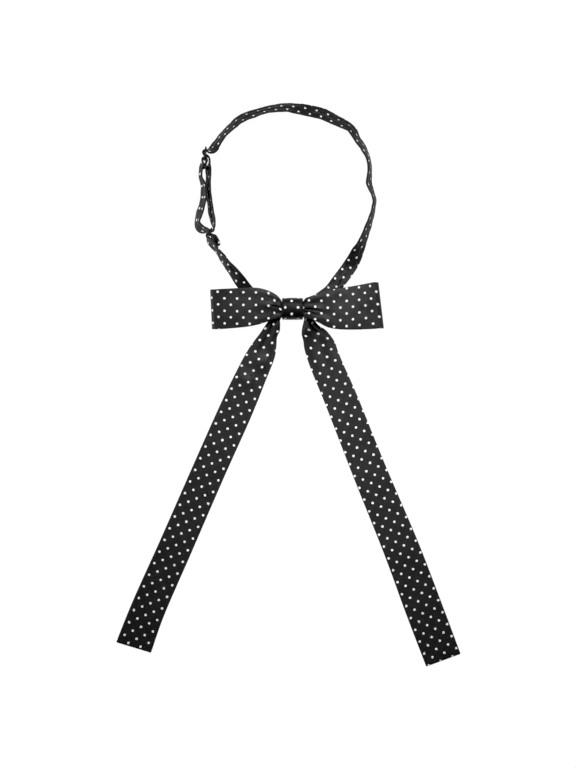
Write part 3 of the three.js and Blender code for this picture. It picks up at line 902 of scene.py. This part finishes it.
def buildBand(name, node, routes, pattern, seed):
    rows = np.vstack(routes)
    steps = np.linalg.norm(np.diff(rows[:, :2], axis=0), axis=1)
    keep = np.append(True, steps > band["shortestStep"])
    rows = rows[keep]
    x, y, tilt, width, liftOff = rows.T
    heading = unit(np.column_stack([np.gradient(x), np.gradient(y)]))
    tilt = np.radians(tilt)
    thickness = band["thickness"]
    rise = (width * np.sin(tilt) + thickness * np.abs(np.cos(tilt))) / 2
    centre = np.column_stack([x, y, np.maximum(liftOff, 0) + rise])
    half = np.column_stack([
        -heading[:, 1] * np.cos(tilt), heading[:, 0] * np.cos(tilt), np.sin(tilt)
    ])
    half *= ((width - thickness) / 2)[:, None]
    v = np.linspace(-1, 1, band["points"])
    middle = centre[:, None] + half[:, None] * v[None, :, None]
    along = lengths(middle)[:, None]

    # Free stretches are a little crumpled, and those inside the hardware and the knot are not
    free = ramp(full - width, *band["freeFrom"])[:, None]
    outward = unit(np.cross(np.gradient(middle, axis=0), np.gradient(middle, axis=1)))
    flatU = v * full / 2

    def alongOnly(size, offset):
        return waves(along, 0 * v, size, seed + offset)

    lift = band["rippleRise"] * waves(along, flatU, band["rippleSize"], seed)
    lift = lift + band["wanderRise"] * alongOnly(band["wanderSize"], 3)
    cupping = 1 + band["cupChange"] * alongOnly(band["cupSize"], 7)
    lift -= band["cupRise"] * (v**2 - band["cupMiddle"]) * cupping
    for side in (-1, 1):
        wander = band["creaseWander"] * alongOnly(band["creaseWanderSize"], 12 + side)
        at = side * band["creaseAt"] + wander
        depth = band["creaseDepth"] * (band["creaseMean"] + alongOnly(band["creaseSize"], 20 + side))
        lift -= depth * np.exp(-(((v - at) / band["creaseWidth"]) ** 2))
    base = middle.copy()
    middle += outward * (lift * free)[..., None]
    middle[..., 2] = np.maximum(middle[..., 2], thickness * band["lowestShare"])
    thick = thinEnds(thickness, len(rows))
    piece = clothBody(name, middle, thick, pattern, bowCloth, base)
    place(piece, "band_cloth", node)
    print(name, "flat length", round(flatLength(middle), 1), "mm")
    return piece


spacing = band["spacing"]
longRoute = [
    smooth(neckRows, spacing),
    roundBar(slideMiddle, wrapRadius, slideLean, slideLean + 180),
    roundBar(slideFoot, secondRadius, slideLean, slideLean - 90),
    smooth(strandDownRows, spacing),
    roundBar(linkLong, wrapRadius, 0, -110),
    smooth(strandUpRows, spacing),
    roundBar(slideFoot, wrapRadius, slideLean + 90, slideLean - 90),
    smooth(sewnEndRows, spacing),
]
shortRoute = [
    smooth(foldEndRows, spacing),
    roundBar(linkShort, wrapRadius, 50, 210),
    smooth(shortRows, spacing),
]
longPattern = {"dotAt": (35.7, 22.2), "step": 8.25}
shortPattern = {"dotAt": (-44.9, 31.2), "step": 8.25}
longPiece = buildBand("longBand", "neckband_long", longRoute, longPattern, 51)
shortPiece = buildBand("shortBand", "neckband_short", shortRoute, shortPattern, 67)

print("slide and link")

metal = {
    "height": 12, "bar": 1, "rail": 1.3, "round": 0.32, "roundSteps": 3, "merge": 0.01,
    "smoothBelow": 40,  # degrees between two faces
    "facing": 0.9,  # least share of a normal along Y on the plate's front and back
}


def selectFaces(mesh, wanted):
    for face in mesh.polygons:
        face.select = bool(wanted(face))


# A flat plate is cut into bars and rails, and each slot's two faces are bridged into a hole
def buildFrame(name, node, barsAt, foot, lean):
    bpy.ops.object.select_all(action="DESELECT")
    halfBar = metal["bar"] / 2
    length = barsAt[-1] + metal["bar"]
    middleX = (barsAt[0] + barsAt[-1]) / 2
    bpy.ops.mesh.primitive_cube_add(size=1, location=(middleX * mm, 0, metal["height"] / 2 * mm))
    piece = bpy.context.active_object
    piece.name = name
    piece.data.name = name
    piece.scale = (length * mm, metal["bar"] * mm, metal["height"] * mm)
    bpy.ops.object.transform_apply(location=True, rotation=True, scale=True)
    bpy.ops.object.mode_set(mode="EDIT")
    edges = [at + side * halfBar for at in barsAt for side in (-1, 1)][1:-1]
    for x in edges:
        bpy.ops.mesh.select_all(action="SELECT")
        bpy.ops.mesh.bisect(plane_co=(x * mm, 0, 0), plane_no=(1, 0, 0))
    for z in (metal["rail"], metal["height"] - metal["rail"]):
        bpy.ops.mesh.select_all(action="SELECT")
        bpy.ops.mesh.bisect(plane_co=(0, 0, z * mm), plane_no=(0, 0, 1))
    bpy.ops.mesh.select_mode(type="FACE")
    for left, right in zip(edges[::2], edges[1::2]):
        bpy.ops.mesh.select_all(action="DESELECT")
        bpy.ops.object.mode_set(mode="OBJECT")
        selectFaces(piece.data, lambda face: (
            left * mm < face.center.x < right * mm
            and abs(face.normal.y) > metal["facing"]
            and metal["rail"] * mm < face.center.z < (metal["height"] - metal["rail"]) * mm
        ))
        bpy.ops.object.mode_set(mode="EDIT")
        bpy.ops.mesh.bridge_edge_loops()
    bpy.ops.mesh.select_all(action="SELECT")
    bpy.ops.mesh.remove_doubles(threshold=metal["merge"] * mm)
    bpy.ops.mesh.normals_make_consistent(inside=False)
    bpy.ops.object.mode_set(mode="OBJECT")
    bevel = piece.modifiers.new("rounded", "BEVEL")
    bevel.width = metal["round"] * mm
    bevel.segments = metal["roundSteps"]
    bevel.limit_method = "ANGLE"
    bpy.ops.object.modifier_apply(modifier=bevel.name)
    bpy.ops.object.shade_smooth_by_angle(angle=math.radians(metal["smoothBelow"]))
    piece.rotation_euler.z = math.radians(lean)
    piece.location = (foot[0] * mm, foot[1] * mm, 0)
    bpy.ops.object.transform_apply(location=True, rotation=True, scale=True)
    piece.data.materials.append(enamel)
    place(piece, "adjuster_metal", node)


slideTopAt = wrapRadius + secondRadius + wrapRadius + solid["play"] + (solid["band"] + solid["bar"]) / 2
buildFrame("slide", "slider", [0, wrapRadius + secondRadius, slideTopAt], slideFoot, slideLean)
linkSpan = linkLong - linkShort
linkLean = math.degrees(math.atan2(linkSpan[1], linkSpan[0]))
buildFrame("link", "ring", [0, float(np.linalg.norm(linkSpan))], linkShort, linkLean)

print("floor and light")

stage = {
    "floor": 14.0, "floorAt": -0.02 * mm, "paper": (0.06, 0.06, 0.06, 1), "paperRoughness": 0.9,
    "white": (1, 1, 1, 1), "glow": 0.98, "air": 0.08, "black": 0.01,
}
bpy.ops.object.select_all(action="DESELECT")
bpy.ops.mesh.primitive_plane_add(size=stage["floor"], location=(0, 0, stage["floorAt"]))
floor = bpy.context.active_object
floor.name = "floor"
paper, _, paperShader = newMaterial("paper")
paperShader.inputs["Base Color"].default_value = stage["paper"]
paperShader.inputs["Roughness"].default_value = stage["paperRoughness"]
paperShader.inputs["Specular IOR Level"].default_value = 0
paperShader.inputs["Emission Color"].default_value = stage["white"]
paperShader.inputs["Emission Strength"].default_value = stage["glow"]
floor.data.materials.append(paper)

# In metres, watts and degrees
lights = [
    {"name": "key", "at": (-0.02, 0.34, 0.56), "towards": (0, -0.05, 0), "size": (0.35, 0.2), "power": 2.6},
    {"name": "leftFill", "at": (-0.85, -0.1, 0.3), "towards": (0, 0, 0), "size": (0.6, 0.3), "power": 3.6},
    {"name": "rightFill", "at": (0.85, 0.05, 0.3), "towards": (0, 0, 0), "size": (0.6, 0.3), "power": 1.2},
    {"name": "beam", "at": (0.15, 0.25, 0.75), "towards": (0.03, -0.11, 0), "size": (0.2, 0.2),
     "power": 0.16, "spread": 30},
]
for light in lights:
    data = bpy.data.lights.new(light["name"], "AREA")
    data.shape = "RECTANGLE"
    data.size, data.size_y = light["size"]
    data.energy = light["power"]
    data.spread = math.radians(light.get("spread", 180))
    lamp = bpy.data.objects.new(light["name"], data)
    lamp.location = light["at"]
    aim = Vector(light["towards"]) - Vector(light["at"])
    lamp.rotation_euler = aim.to_track_quat("-Z", "Y").to_euler()
    bpy.context.collection.objects.link(lamp)

world = bpy.data.worlds.new("studio")
world.use_nodes = True
background = world.node_tree.nodes["Background"]
background.inputs[0].default_value = stage["white"]
background.inputs[1].default_value = stage["air"]
bpy.context.scene.world = world

# A crisp print: plain colours with the deepest tones set to black
grading = bpy.context.scene.view_settings
grading.view_transform = "Standard"
grading.use_curve_mapping = True
grading.curve_mapping.black_level = (stage["black"],) * 3
grading.curve_mapping.update()
